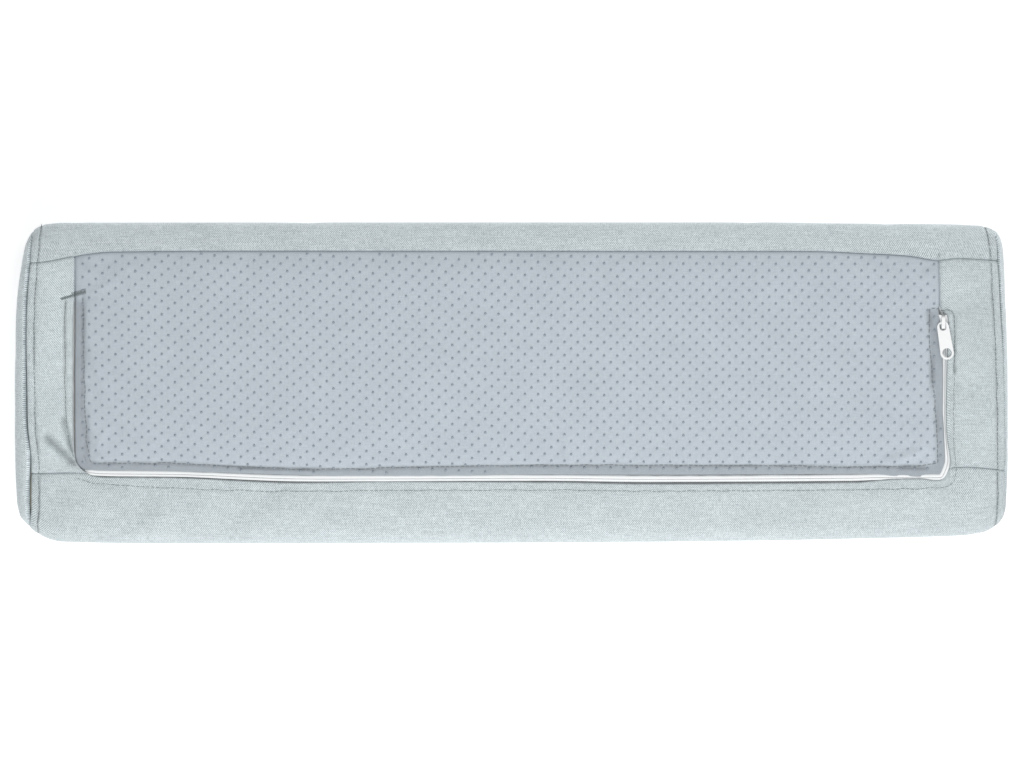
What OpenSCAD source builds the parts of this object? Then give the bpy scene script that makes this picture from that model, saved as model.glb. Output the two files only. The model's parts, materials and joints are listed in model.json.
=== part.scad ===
// Kneeling pad: a foam core in a zip-off fabric cover, lying on its kneeling face.
// X runs along the pad, +Y is its back edge, and Z is up through its thickness.
// The underside, with its anti-slip panel and its zip, is the face on top.
// The zip is a U round three sides of the anti-slip panel. Unzipped, that panel
// is a flap that folds back about the line where the two legs of the U end.

/* [Pad] */
// Length along X
pad_length = 600; // [580:1:640]
// Width along Y
pad_width = 193; // [186:1:206]
// Thickness along Z
pad_height = 50; // [40:1:60]
// Plan radius of the two corners at the left end
left_corner_r = 17; // [10:1:22]
// Plan radius of the two corners at the right end
right_corner_r = 13; // [10:1:22]
// Radius along the four long edges
long_edge_r = 10; // [6:1:14]
// Radius along the upper and lower edge of each end
end_edge_r = 5; // [3:1:5]

/* [Cover] */
// Thickness of the cover fabric
fabric_t = 1; // [0.8:0.1:1.4]
// Gap between the foam core and the cover
foam_gap = 0.2; // [0.1:0.1:0.5]
// How far the left end panel reaches in from the left end
left_end_depth = 7.7; // [6:0.1:9]
// How far the right end panel reaches in from the right end
right_end_depth = 5.6; // [5:0.1:9]
// Width of the wrap that shows along the back of the underside
back_strip_w = 16.9; // [14:0.1:20]
// Width of the wrap that shows along the front, beside the zip's corners
front_strip_w = 43; // [41:0.1:45]
// Distance from the centre to the fold that the flap turns about
fold_y = 30; // [26:0.5:30]

/* [Zip] */
// Distance from the centre to the left leg of the zip
zip_left = 264.3; // [255:0.1:268]
// Distance from the centre to the right leg of the zip
zip_right = 260.2; // [255:0.1:266]
// Distance from the centre to the long run of the zip
zip_front = 57.1; // [56:0.1:58]
// How far the left leg reaches behind the centre
zip_left_end = 53; // [48:0.5:56]
// How far the right leg reaches behind the centre
zip_right_end = 44.5; // [43:0.5:50]
// Radius of the zip's two corners, at its centre line
zip_corner_r = 8; // [6:0.5:10]
// Half the width of the slot between the two folded edges
slot_half = 2.2; // [1.8:0.1:2.4]
// Width of each of the two zip tapes
tape_w = 12; // [10:0.5:12]
// Thickness of a zip tape
tape_t = 0.4; // [0.3:0.05:0.5]
// Width of one row of the coil
coil_w = 1.5; // [1.2:0.1:1.6]
// Height of the coil under its tape
coil_h = 1.3; // [1.1:0.1:1.4]

/* [Slider] */
// Distance from the centre to the middle of the slider, with the zip closed
slider_y = 36.35; // [36:0.05:38]
// Width of the slider
slider_w = 7.6; // [7:0.1:8]
// Length of the slider
slider_l = 9.5; // [9:0.1:10]
// Thickness of each of the slider's two wings
wing_t = 0.8; // [0.6:0.1:0.8]
// Width of the arched cap that holds the pull
cap_w = 2.2; // [1.8:0.1:2.2]
// Thickness of the cap's strip
cap_t = 0.7; // [0.6:0.05:0.7]

/* [Pull] */
// Thickness of the pull
pull_t = 0.9; // [0.8:0.05:0.9]
// Distance between the pull's two holes
pull_hole_gap = 15.6; // [14:0.1:18]
// Outer radius of the pull at the slider's end
pull_ring_r = 3.6; // [3.4:0.1:3.8]
// Outer radius of the pull at its free end
pull_end_r = 4.1; // [3.9:0.1:4.5]
// Radius of the hole at the free end
pull_hole_r = 2.8; // [2:0.1:2.8]
// How far the pull leans to the right of the zip, in degrees
pull_lean = 9; // [0:0.5:9]
// How far the pull sits to the left of the middle of the cap
pull_shift = 0.6; // [0:0.1:0.6]

/* [Stitching] */
// Width of a line of stitching
thread_w = 0.6; // [0.4:0.1:0.8]
// How far a line of stitching stands above the fabric
thread_h = 0.3; // [0.2:0.05:0.3]
// Distance from the zip's centre line to the topstitching beside it
topstitch_gap = 7; // [6.9:0.1:7.4]
// Distance from each end seam to the topstitching beside it
end_stitch_gap = 5.4; // [4:0.1:7]
// Length of the bar tack across the left end of the zip
bar_tack_l = 15; // [12:0.5:18]
// Slope of the bar tack, in degrees
bar_tack_slope = 18; // [0:1:25]

/* [Hidden] */
$fn = 48;
linen = [0.78, 0.82, 0.82];
grip_grey = [0.73, 0.77, 0.80];
thread_grey = [0.50, 0.55, 0.54];
zip_white = [0.95, 0.96, 0.96];
foam_cream = [0.93, 0.90, 0.80];

clearance = 0.1;                       // running clearance of the slider
past = 1;                              // how far a cutting solid runs past a face
left_seam_x = left_end_depth - pad_length / 2;
right_seam_x = pad_length / 2 - right_end_depth;
left_stitch_x = left_seam_x + end_stitch_gap;
right_stitch_x = right_seam_x - end_stitch_gap;
back_seam_y = pad_width / 2 - back_strip_w;
front_seam_y = front_strip_w - pad_width / 2;
panel_z = pad_height - fabric_t;       // underside of the fabric on the upper face
slider_top = panel_z - 0.15;
tape_top = slider_top - wing_t - 0.45;
coil_top = tape_top - tape_t;
slider_bottom = coil_top - coil_h - clearance - wing_t;
coil_gap = 0.6;                        // from the centre line to the coil and to the tape
tape_past_slot = 6;                    // length of tape sewn in past each end of the slot
lip_reach = topstitch_gap + thread_w / 2 + 0.1;   // the flap's folded edge lies between this and the slot
fold_gap = 1.5;                        // from the fold line to the stitching on both sides of it
groove_side = 0.6;                     // gap between the tape's edge and the foam
groove_floor = slider_bottom - 0.2;
pull_bar_w = 1.6;                      // width of the pull's bar, under the cap
pull_upper_hole_r = 2;
pull_slot_half = 1.9;                  // half the straight side of the upper hole, along the bar
pull_z = pad_height + pull_bar_w / 2 + 0.15;   // height of the pull's hinge
cap_room = 1.05;                       // space from the hinge up to the cap
cap_l = 7.3;

// ---- outlines ----

// A rectangle from low to high with rounded corners: r_low at its low-x end, r_high at the other.
module rounded_rectangle(low, high, r_low, r_high) {
    polygon([
        [low[0] + r_low, low[1]], [high[0] - r_high, low[1]],
        [high[0], low[1] + r_high], [high[0], high[1] - r_high],
        [high[0] - r_high, high[1]], [low[0] + r_low, high[1]],
        [low[0], high[1] - r_low], [low[0], low[1] + r_low]]);
    for (y = [0, 1]) {
        side_y = y == 0 ? low[1] : high[1];
        inward = y == 0 ? 1 : -1;
        translate([low[0] + r_low, side_y + inward * r_low]) circle(r_low);
        translate([high[0] - r_high, side_y + inward * r_high]) circle(r_high);
    }
}

// The whole outside shape of the pad, made smaller by inset on every side.
module pad_solid(inset) {
    x = pad_length / 2 - inset;
    y = pad_width / 2 - inset;
    low_z = inset;
    high_z = pad_height - inset;
    intersection() {
        translate([0, 0, low_z]) linear_extrude(high_z - low_z)
            rounded_rectangle([-x, -y], [x, y], left_corner_r - inset, right_corner_r - inset);
        translate([-x - past, 0, 0]) rotate([90, 0, 90]) linear_extrude(2 * (x + past))
            rounded_rectangle([-y, low_z], [y, high_z], long_edge_r - inset, long_edge_r - inset);
        translate([0, y + past, 0]) rotate([90, 0, 0]) linear_extrude(2 * (y + past))
            rounded_rectangle([-x, low_z], [x, high_z], end_edge_r - inset, end_edge_r - inset);
    }
}

// Everything between x_low and x_high that is outside the pad made smaller by depth.
module outside_slice(x_low, x_high, depth) {
    difference() {
        translate([x_low, -pad_width, -past]) cube([x_high - x_low, 2 * pad_width, pad_height + 2 * past]);
        pad_solid(depth);
    }
}

// The outermost depth of the pad's shape, all round it, between x_low and x_high.
module skin(x_low, x_high, depth) {
    intersection() {
        pad_solid(0);
        outside_slice(x_low, x_high, depth);
    }
}

// The space that the topstitching round an end takes up in the fabric's surface.
module end_stitch_groove(x) {
    outside_slice(x - thread_w / 2, x + thread_w / 2, thread_h);
}

// The area inside the U of the zip, out to grow beyond its centre line, and up to the pad's back.
module inside_zip(grow) {
    r = max(zip_corner_r + grow, 0.5);
    x_low = -zip_left - grow;
    x_high = zip_right + grow;
    y_low = -zip_front - grow;
    translate([x_low, y_low + r]) square([x_high - x_low, pad_width / 2 - y_low - r]);
    translate([x_low + r, y_low]) square([x_high - x_low - 2 * r, r]);
    translate([x_low + r, y_low + r]) circle(r);
    translate([x_high - r, y_low + r]) circle(r);
}

// The U between two distances from the zip's centre line, cut off at the ends of its legs.
// beyond lengthens both legs past the ends of the slot.
module zip_band(near, far, beyond) {
    intersection() {
        difference() {
            inside_zip(far);
            inside_zip(near);
        }
        union() {
            translate([-pad_length / 2, -pad_width / 2])
                square([pad_length / 2, pad_width / 2 + zip_left_end + beyond]);
            translate([0, -pad_width / 2])
                square([pad_length / 2, pad_width / 2 + zip_right_end + beyond]);
        }
    }
}

module before_fold() {
    translate([-pad_length / 2, -pad_width / 2]) square([pad_length, pad_width / 2 + fold_y]);
}

// ---- foam and cover ----

module foam_core() {
    color(foam_cream)
        difference() {
            pad_solid(fabric_t + foam_gap);
            translate([0, 0, groove_floor]) linear_extrude(pad_height)
                zip_band(-tape_w - groove_side, tape_w + groove_side, tape_past_slot + groove_side);
        }
}

module underside_rectangle(x_low, x_high, y_low, y_high) {
    translate([x_low, y_low]) square([x_high - x_low, y_high - y_low]);
}

module wrap_panel() {
    color(linen)
        difference() {
            skin(left_seam_x, right_seam_x, fabric_t);
            end_stitch_groove(left_stitch_x);
            end_stitch_groove(right_stitch_x);
            translate([0, 0, pad_height / 2]) linear_extrude(pad_height)
                union() {
                    underside_rectangle(left_seam_x - past, right_seam_x + past, front_seam_y, back_seam_y);
                    intersection() {
                        inside_zip(slot_half);
                        underside_rectangle(-zip_left - 9, zip_right + 9, -pad_width / 2, 0);
                    }
                }
        }
}

module left_end_panel() {
    color(linen) skin(-pad_length / 2 - past, left_seam_x, fabric_t);
}

module right_end_panel() {
    color(linen) skin(right_seam_x, pad_length / 2 + past, fabric_t);
}

// A flat fabric panel on the upper face, with the zip's slot taken out of it.
module underside_panel(x_low, x_high, y_low, y_high) {
    translate([0, 0, panel_z]) linear_extrude(fabric_t)
        difference() {
            underside_rectangle(x_low, x_high, y_low, y_high);
            zip_band(-slot_half, slot_half, 0);
        }
}

module left_underside_panel() {
    color(linen)
        difference() {
            underside_panel(left_seam_x, -zip_left, front_seam_y, back_seam_y);
            end_stitch_groove(left_stitch_x);
        }
}

module right_underside_panel() {
    color(linen)
        difference() {
            underside_panel(zip_right, right_seam_x, front_seam_y, back_seam_y);
            end_stitch_groove(right_stitch_x);
        }
}

module grip_panel_back() {
    color(grip_grey) underside_panel(-zip_left, zip_right, fold_y, back_seam_y);
}

module grip_panel_flap() {
    color(grip_grey) translate([0, 0, panel_z]) linear_extrude(fabric_t)
        intersection() {
            inside_zip(-lip_reach);
            before_fold();
        }
}

module grip_flap_lip() {
    color(grip_grey) translate([0, 0, panel_z]) linear_extrude(fabric_t)
        intersection() {
            zip_band(-lip_reach, -slot_half, 0);
            before_fold();
        }
}

// ---- zip ----

module outer_zip_tape() {
    color(zip_white) translate([0, 0, tape_top - tape_t]) linear_extrude(tape_t)
        zip_band(coil_gap, tape_w, tape_past_slot);
}

module inner_zip_tape() {
    color(zip_white) translate([0, 0, tape_top - tape_t]) linear_extrude(tape_t)
        zip_band(-tape_w, -coil_gap, tape_past_slot);
}

module outer_zip_coil() {
    color(zip_white) translate([0, 0, coil_top - coil_h]) linear_extrude(coil_h)
        zip_band(coil_gap, coil_gap + coil_w, tape_past_slot);
}

module inner_zip_coil() {
    color(zip_white) translate([0, 0, coil_top - coil_h]) linear_extrude(coil_h)
        zip_band(-coil_gap - coil_w, -coil_gap, tape_past_slot);
}

// ---- slider and pull ----

// Outline of a wing: two rounded shoulders at the mouth, towards +Y, and a narrower tail.
module wing_outline() {
    shoulder_r = 1.8;
    tail_w = slider_w - 1.6;
    for (side = [-1, 1])
        translate([side * (slider_w / 2 - shoulder_r), slider_l / 2 - shoulder_r]) circle(shoulder_r);
    translate([shoulder_r - slider_w / 2, 0]) square([slider_w - 2 * shoulder_r, slider_l / 2 - 0.6]);
    translate([-slider_w / 2, -slider_l / 4]) square([slider_w, 3 * slider_l / 4 - shoulder_r]);
    translate([-tail_w / 2, -slider_l / 2]) square([tail_w, slider_l / 2]);
}

// The turned-in edges of one wing, which keep the rows of the coil inside.
module flange_outline() {
    flange_w = 0.8;
    for (side = [-1, 1])
        translate([side * (slider_w - flange_w) / 2 - flange_w / 2, -slider_l / 4])
            square([flange_w, 3 * slider_l / 4 - 2]);
}

module slider_body() {
    lower_wing_top = slider_bottom + wing_t;
    color(zip_white) translate([zip_right, slider_y, 0]) {
        translate([0, 0, slider_top - wing_t]) linear_extrude(wing_t) wing_outline();
        translate([0, 0, slider_bottom]) linear_extrude(wing_t) wing_outline();
        translate([0, 0, tape_top + clearance])
            linear_extrude(slider_top - wing_t - tape_top - clearance) flange_outline();
        translate([0, 0, lower_wing_top])
            linear_extrude(coil_top - clearance - lower_wing_top) flange_outline();
        // The post that parts the two rows at the slider's mouth
        translate([0, slider_l / 2 - 3, lower_wing_top]) {
            post_h = slider_top - wing_t - lower_wing_top;
            translate([-coil_gap + clearance, 0, 0]) cube([2 * (coil_gap - clearance), 2, post_h]);
        }
    }
}

// An arch that stands on the slider's upper wing, with the pull's bar under it.
module slider_cap() {
    top = pull_z + cap_room + cap_t;
    color(zip_white) translate([zip_right - cap_w / 2, slider_y, 0]) rotate([90, 0, 90])
        linear_extrude(cap_w)
            difference() {
                union() {
                    translate([-cap_l / 2, slider_top]) square([cap_l, top - slider_top - 1]);
                    rounded_rectangle([-cap_l / 2, top - 2.5], [cap_l / 2, top], 1, 1);
                }
                translate([cap_t - cap_l / 2, slider_top - past])
                    square([cap_l - 2 * cap_t, top - cap_t - slider_top + past]);
            }
}

// A flat tab with a ring at the slider's end. The cap passes through the ring's hole.
module pull_tab() {
    ring_y = -pull_bar_w / 2 - pull_upper_hole_r;
    end_y = ring_y - pull_hole_gap;
    color(zip_white)
        translate([zip_right - pull_shift, slider_y, pull_z - pull_t / 2]) rotate([0, 0, pull_lean])
            difference() {
                union() {
                    translate([0, ring_y, 0]) cylinder(h = pull_t, r = pull_ring_r);
                    translate([0, end_y, 0]) cylinder(h = pull_t, r = pull_end_r);
                    linear_extrude(pull_t)
                        polygon([
                            [-pull_ring_r, ring_y], [pull_ring_r, ring_y],
                            [pull_end_r, end_y], [-pull_end_r, end_y]]);
                }
                translate([0, end_y, -past]) cylinder(h = pull_t + 2 * past, r = pull_hole_r);
                translate([0, ring_y, -past]) cylinder(h = pull_t + 2 * past, r = pull_upper_hole_r);
                translate([-pull_slot_half, ring_y, -past])
                    cube([2 * pull_slot_half, pull_upper_hole_r, pull_t + 2 * past]);
            }
}

// ---- stitching ----

module thread_on_top() {
    color(thread_grey) translate([0, 0, pad_height]) linear_extrude(thread_h) children();
}

module left_bar_tack() {
    thread_on_top()
        translate([-zip_left, zip_left_end + 2]) rotate(bar_tack_slope)
            square([bar_tack_l, 2 * thread_w], center = true);
}

// The box of stitching that closes the right end of the slot, behind the fold.
module right_box_stitch() {
    reach = topstitch_gap + thread_w / 2;
    top_y = zip_right_end + 1;
    thread_on_top() {
        translate([zip_right - reach, top_y]) square([2 * reach, thread_w]);
        translate([zip_right - reach, fold_y + fold_gap]) square([thread_w, top_y - fold_y - fold_gap]);
    }
}

module outer_topstitch() {
    thread_on_top()
        difference() {
            zip_band(topstitch_gap - thread_w / 2, topstitch_gap + thread_w / 2, 0);
            // Room for the bar tack across the end of the left leg
            translate([-pad_length / 2, zip_left_end - 1.5]) square([pad_length / 2, pad_width]);
        }
}

module flap_topstitch() {
    thread_on_top()
        intersection() {
            zip_band(-topstitch_gap - thread_w / 2, -topstitch_gap + thread_w / 2, 0);
            translate([0, -fold_gap]) before_fold();
        }
}

// A line of stitching all round the pad, pulled in flush with the fabric's surface.
module end_topstitch(x) {
    color(thread_grey) skin(x - thread_w / 2, x + thread_w / 2, thread_h);
}

module left_end_topstitch() {
    end_topstitch(left_stitch_x);
}

module right_end_topstitch() {
    end_topstitch(right_stitch_x);
}

foam_core();
wrap_panel();
left_end_panel();
right_end_panel();
left_underside_panel();
right_underside_panel();
grip_panel_back();
grip_panel_flap();
grip_flap_lip();
outer_zip_tape();
inner_zip_tape();
outer_zip_coil();
inner_zip_coil();
slider_body();
slider_cap();
pull_tab();
left_bar_tack();
right_box_stitch();
outer_topstitch();
flap_topstitch();
left_end_topstitch();
right_end_topstitch();
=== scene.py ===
import json
import math
import random

import bmesh
import bpy
import numpy as np
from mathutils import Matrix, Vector
from mathutils.bvhtree import BVHTree
from mathutils.kdtree import KDTree


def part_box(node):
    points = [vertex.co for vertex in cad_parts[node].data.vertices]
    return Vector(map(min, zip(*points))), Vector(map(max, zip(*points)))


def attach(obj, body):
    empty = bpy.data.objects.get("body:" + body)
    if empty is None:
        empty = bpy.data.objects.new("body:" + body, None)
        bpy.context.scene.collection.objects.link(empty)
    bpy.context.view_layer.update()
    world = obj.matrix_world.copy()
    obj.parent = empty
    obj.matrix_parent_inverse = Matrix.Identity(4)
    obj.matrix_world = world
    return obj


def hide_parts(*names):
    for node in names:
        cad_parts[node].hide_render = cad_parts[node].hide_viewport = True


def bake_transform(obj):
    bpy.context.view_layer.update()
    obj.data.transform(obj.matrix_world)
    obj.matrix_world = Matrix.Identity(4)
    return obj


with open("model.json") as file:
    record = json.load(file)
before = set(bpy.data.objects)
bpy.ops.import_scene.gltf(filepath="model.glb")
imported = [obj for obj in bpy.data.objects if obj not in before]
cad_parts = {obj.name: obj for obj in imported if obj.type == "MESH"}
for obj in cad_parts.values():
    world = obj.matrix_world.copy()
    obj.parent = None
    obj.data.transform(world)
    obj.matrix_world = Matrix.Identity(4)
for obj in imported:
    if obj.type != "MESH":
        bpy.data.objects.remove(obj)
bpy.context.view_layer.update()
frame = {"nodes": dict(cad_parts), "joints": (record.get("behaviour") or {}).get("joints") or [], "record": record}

# Lengths in this script are in millimetres, and become metres when a mesh is made.
M = 0.001


def box_mm(node):
    low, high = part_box(node)
    return [v / M for v in low], [v / M for v in high]


# ---- places taken from the frame ----

END_RIGHT = box_mm("right_end_panel")[1][0]
SEAM_LEFT = box_mm("left_end_panel")[1][0]
SEAM_RIGHT = box_mm("right_end_panel")[0][0] + 3.4
HALF_WIDTH = box_mm("wrap_panel")[1][1]
TOP = box_mm("wrap_panel")[1][2] - 0.6
ZIP_END_LEFT = box_mm("outer_topstitch")[1][1]
ZIP_END_RIGHT = box_mm("right_box_stitch")[1][1] - 1.6
TAPE_Z = box_mm("outer_zip_tape")[1][2]
CAP_LOW, CAP_HIGH = box_mm("slider_cap")
PULL_LOW, PULL_HIGH = box_mm("pull_tab")
GROOVE_FLOOR = box_mm("slider_body")[0][2] - 0.2   # of the dip in the foam under the zip
CLOTH_T = 0.55
TOP_ONLY = 40            # points above this height are on the upper face
EDGE_R = 11.0            # roundness of the long edges
END_R = 14.0             # roundness of the upper and lower edge at each end
STITCH_GAP = 5.4         # from an end seam to the topstitching beside it


# ---- small helpers ----

def mix(a, b, t):
    return a + (b - a) * t


def smooth(t):
    t = np.clip(t, 0, 1)
    return t * t * (3 - 2 * t)


def bell(distance, width):
    """1 at no distance, falling smoothly to almost nothing at twice the width."""
    return np.exp(-(distance / width) ** 2)


def through(points, x):
    """A smooth curve through a few (x, y) points, read at x. It doesn't swing past them."""
    px, py = np.array(points, float).T
    step = np.diff(px)
    slope = np.diff(py) / step
    tangent = np.concatenate([slope[:1], np.zeros(len(px) - 2), slope[-1:]])
    same_way = slope[:-1] * slope[1:] > 0
    total = np.where(same_way, slope[:-1] + slope[1:], 1)
    tangent[1:-1] = np.where(same_way, 2 * slope[:-1] * slope[1:] / total, 0)
    i = np.clip(np.searchsorted(px, x) - 1, 0, len(px) - 2)
    t = np.clip((x - px[i]) / step[i], 0, 1)
    return (py[i] * (1 + 2 * t) * (1 - t) ** 2 + py[i + 1] * t * t * (3 - 2 * t)
            + step[i] * (tangent[i] * t * (1 - t) ** 2 - tangent[i + 1] * t * t * (1 - t)))


def stations(low, high, step, close_to=(), fine=0.3, reach=5.0):
    """Places from low to high, about step apart, and closer together near some of them."""
    places = [low]
    while places[-1] < high:
        near = min([abs(places[-1] - c) for c in close_to], default=reach)
        places.append(places[-1] + fine + (step - fine) * min(near / reach, 1) ** 1.5)
    places = np.array(places)
    return low + (places - low) * (high - low) / (places[-1] - low)


def ripples(seed, count, shortest, longest):
    """A smooth uneven surface of height about 1, as a function of x and y."""
    pick = random.Random(seed)
    waves = []
    for _ in range(count):
        length = pick.uniform(shortest, longest)
        angle = pick.uniform(0, math.pi)
        phase = pick.uniform(0, 2 * math.pi)
        waves.append((math.cos(angle) / length, math.sin(angle) / length, phase))

    def height(x, y):
        total = sum(np.sin(2 * math.pi * (a * x + b * y) + c) for a, b, c in waves)
        return total / math.sqrt(count)
    return height


uneven = ripples(3, 9, 45, 150)
crumple = ripples(8, 12, 9, 26)


# ---- outlines, seams and folded edges, as smooth curves through a few points ----

def back_y(x):
    return through([(-293.5, 84.5), (-292.3, 87.4), (-289.3, 92.3), (-285.5, 94.7), (-280.8, 95.9),
                    (-272, 96.4), (150, 96.5), (200, 95.9), (270, 95.3), (283, 94.9), (287.2, 94.3),
                    (291.5, 92.8), (295, 89), (297, 83.5), (299, 79)], x)


def front_y(x):
    return through([(-293.5, -84.6), (-290.5, -88), (-286.5, -90.9), (-280.8, -93.5), (-272, -95.4),
                    (-212, -96.4), (29, -95.9), (150, -94.7), (210, -93.5), (270, -91.7),
                    (284.8, -89.8), (290.5, -87.5), (294.4, -84.6), (297, -80.5), (299, -75)], x)


def end_x(y, end):
    """The outline's x at y, at one end."""
    if end == "left":
        return through([(-90.9, -286.5), (-88, -290.5), (-86.4, -292.3), (-84, -294.2), (-80.2, -297.1),
                        (-70.6, -298.9), (-34, -300), (0, -300), (38, -299.4), (62, -297.7), (80.2, -294.7),
                        (87.4, -292.3), (92.3, -289.3), (94.7, -285.5)], y)
    return through([(-89.8, 284.8), (-86, 293), (-80.2, 297.2), (-70.6, 298.7), (-34.4, 299.8), (0, 299.7),
                    (25.9, 299.2), (50, 298.3), (80.2, 296.9), (87.4, 295.5), (92.6, 292.2), (94.3, 287)], y)


def seam_x(y, end):
    """Where the seam of an end panel runs on the upper face."""
    if end == "left":
        return through([(-86, -291.7), (-75, -290.5), (-47, -290.6), (-25, -292.7), (34, -293.5),
                        (56, -292.6), (93, -289.6)], y)
    return through([(-86, 297.6), (-72, 298.6), (-40, 298.6), (0, 297.9), (25, 297.0), (40, 296.0),
                    (75, 294.2), (84, 293.4), (95, 291.0)], y)


SHIFT_REACH = 45         # from an end seam to where the panels stop following it


def placed(x, y):
    """x moved, near the ends of the pad, so that it follows the end seams there."""
    left = (seam_x(y, "left") - SEAM_LEFT) * smooth((SEAM_LEFT + SHIFT_REACH - x) / SHIFT_REACH)
    right = (seam_x(y, "right") - SEAM_RIGHT) * smooth((x - SEAM_RIGHT + SHIFT_REACH) / SHIFT_REACH)
    return x + left + right


def back_seam(x):
    return through([(-296, 72.3), (-283.3, 73), (-263.4, 76.6), (-242, 79), (-180, 79.6), (180, 79.4),
                    (212, 78.1), (239, 76.6), (256.4, 74.1), (268.5, 75.1), (299, 73.6)], x)


def flap_edge_front(x):
    """The flap's folded edge along the zip's long run."""
    return through([(-258, -52.6), (-205, -53.2), (-120, -55.7), (-75, -56.2), (20, -55.2), (90, -55.3),
                    (213, -54.9), (232, -56.3), (262, -57.2)], x)


def cover_edge_front(x):
    """The upper edge of the wrap's front strip: a seam at both ends and a folded edge between."""
    return through([(-294, -54.7), (-257.3, -54.0), (-256.1, -54.3), (-252.5, -55.8), (-244, -56.7),
                    (-212, -56.8), (-128, -60.0), (-70, -59.3), (29, -59.7), (80, -60.7), (206, -59.8),
                    (234, -57.6), (247, -57.5), (254, -58.4), (257.5, -58.5), (259.7, -57.3),
                    (262.7, -53.7), (264.4, -51.0), (273, -50.7), (299, -52.8)], x)


def flap_edge_left(y):
    return through([(-53, -255.8), (-52.2, -257.8), (-50.5, -260.3), (-48, -262.2), (-44, -263.3),
                    (0, -263.5), (40, -263.2), (82, -263.6)], y)


def cover_edge_left(y):
    return through([(-54.2, -256.9), (-52.6, -258.6), (-50.6, -260.7), (-48.1, -262.4), (-44, -263.5),
                    (-40, -263.9), (-36, -264.3), (0, -264.4), (40, -264.2), (50, -263.8), (82, -263.8)], y)


def flap_edge_right(y):
    return through([(-57.2, 254.5), (-56.6, 256.8), (-55.3, 258.4), (-52.5, 260.2), (-46.4, 261.1),
                    (-40, 261.2), (-34, 260.9), (-16, 260.1), (0, 260), (25, 259.5), (38, 258.6),
                    (44, 257.6), (50, 258), (82, 257.4)], y)


def cover_edge_right(y):
    return through([(-51, 264.2), (-48.8, 264.4), (-44, 264.0), (-34.4, 262.5), (-26, 261.9), (-16, 261.7),
                    (-2, 262.0), (12, 262.2), (32, 263.2), (40, 262.7), (44.5, 259), (50, 258.2),
                    (82, 257.6)], y)


def grip_stitch_left(y):
    return through([(-48.4, -253.0), (-47, -254), (-41.6, -255), (-32, -256.5), (-22, -256.8),
                    (-12.7, -257.4), (14, -257.9), (31, -258.3), (52, -258.6)], y)


def grip_stitch_front(x):
    return through([(-253, -48.3), (-212, -48.4), (-150, -51), (-121, -52.1), (-88, -51.6), (-30, -50),
                    (53, -49.4), (140, -49.7), (215, -50.5), (245, -49.9), (256, -48.8)], x)


def grip_stitch_right(y):
    return through([(-48.9, 256.3), (-47, 256.9), (-39.2, 256.7), (-22.3, 255.8), (-5.4, 254.4),
                    (12.7, 252.8), (28.3, 251.7), (44.9, 251.9)], y)


def beside_grip_stitch(x, y):
    """How far a point is inside the topstitching round the grip panel. Less than 0 is on its lip."""
    from_legs = np.minimum(x - grip_stitch_left(y), grip_stitch_right(y) - x)
    return np.minimum(from_legs, y - grip_stitch_front(x))


def leg(edge, low, high):
    return [(float(edge(y)), float(y)) for y in np.linspace(low, high, 12)]


# The lines of topstitching on the upper face, each through a few (x, y) points in order
STITCH_LINES = {
    "cover": [
        [(-263.9, -45.2), (-266.3, -37.5), (-268.0, -28), (-269.0, -18), (-269.3, 0), (-269.5, 25),
         (-269.2, 50)],
        [(267.0, 6), (267.2, 30), (266.9, 38.6), (265.4, 43.0), (262.4, 44.4), (258.4, 43.9)],
        [(258.4, 45.2), (253.2, 44.9), (252.0, 43.6), (251.8, 38), (251.6, 31)],
    ],
    "cover_front": [
        [(-262.5, -57.7), (-250, -60.6), (-233, -61.9), (-212, -63.1), (-128, -65.4), (-60, -64.8),
         (40, -64.6), (80, -65.2), (206, -64.4), (250, -63.6), (262, -62.4), (267.4, -57.5), (268, -51.5)],
        [(267.6, -50), (266.8, -40), (266.5, -20), (266.8, 4)],
    ],
    "flap": [leg(grip_stitch_left, 29, -47.5)
             + [(x, float(grip_stitch_front(x))) for x in np.linspace(-252, 255, 40)]
             + leg(grip_stitch_right, -47.5, 29)],
    "back_left": [leg(grip_stitch_left, 31, 53)],
}

# Creases pressed into the cover: start, end, depth (less than 0 for a ridge), width, painted shade (less than 0
# for a painted highlight)
CREASES = [
    ((-280, -33), (-265, -47.5), 2.7, 2.4, 0.42),
    ((-270.5, -22), (-266.0, -40), 1.5, 1.6, 0.4),
    ((-273, -33), (-267, -42), -0.7, 1.3, -0.08),
    ((-262, -50.5), (-256.5, -53.5), 0.6, 1.5, 0.1),
    ((270, -46), (265.5, -51), 0.5, 1.8, 0.1),
    ((-256, 70), (-262, 76), 0.4, 2.5, 0.05),
    ((249, 68), (257, 73.5), 0.5, 2.5, 0.05),
    ((-165, -51.0), (-116, -51.6), 0.5, 0.9, 0.25),
    ((234, -51.2), (249, -51.6), 0.4, 1.0, 0.25),
    ((226, -44), (244, -39.5), 0.6, 2.4, 0.08),
    ((237, -47), (250, -40), -0.5, 2.4, -0.06),
    ((-250, -40), (-243, -27), -0.5, 1.6, -0.06),
    ((-254, -30), (-250, -42), 0.5, 1.8, 0.08),
    ((-255, 53), (-238, 61), -0.35, 1.3, -0.05),
    ((-257, 20), (-250, -10), 0.35, 3.5, 0.04),
    ((30, -45), (31, -28), 0.3, 1.3, 0.05),
]


def end_drop(x, y):
    """How far the upper face has rolled down towards an end. It is the same all along an end seam."""
    before_shift = 2 * x - placed(x, y)
    past = np.clip(np.abs(before_shift) - (END_RIGHT + 0.8 - END_R), 0, END_R - 0.5)
    return END_R - np.sqrt(END_R ** 2 - past ** 2)


def upper_face(x, y):
    """Height of the cover on the upper face, before its seams are pressed in."""
    side = np.clip((HALF_WIDTH - np.abs(y)) / 40, 0, 1)
    return TOP - end_drop(x, y) - 0.5 * (1 - side) ** 2 + 0.15 * uneven(x, y)


# ---- panels, as grids of points ----

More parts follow.
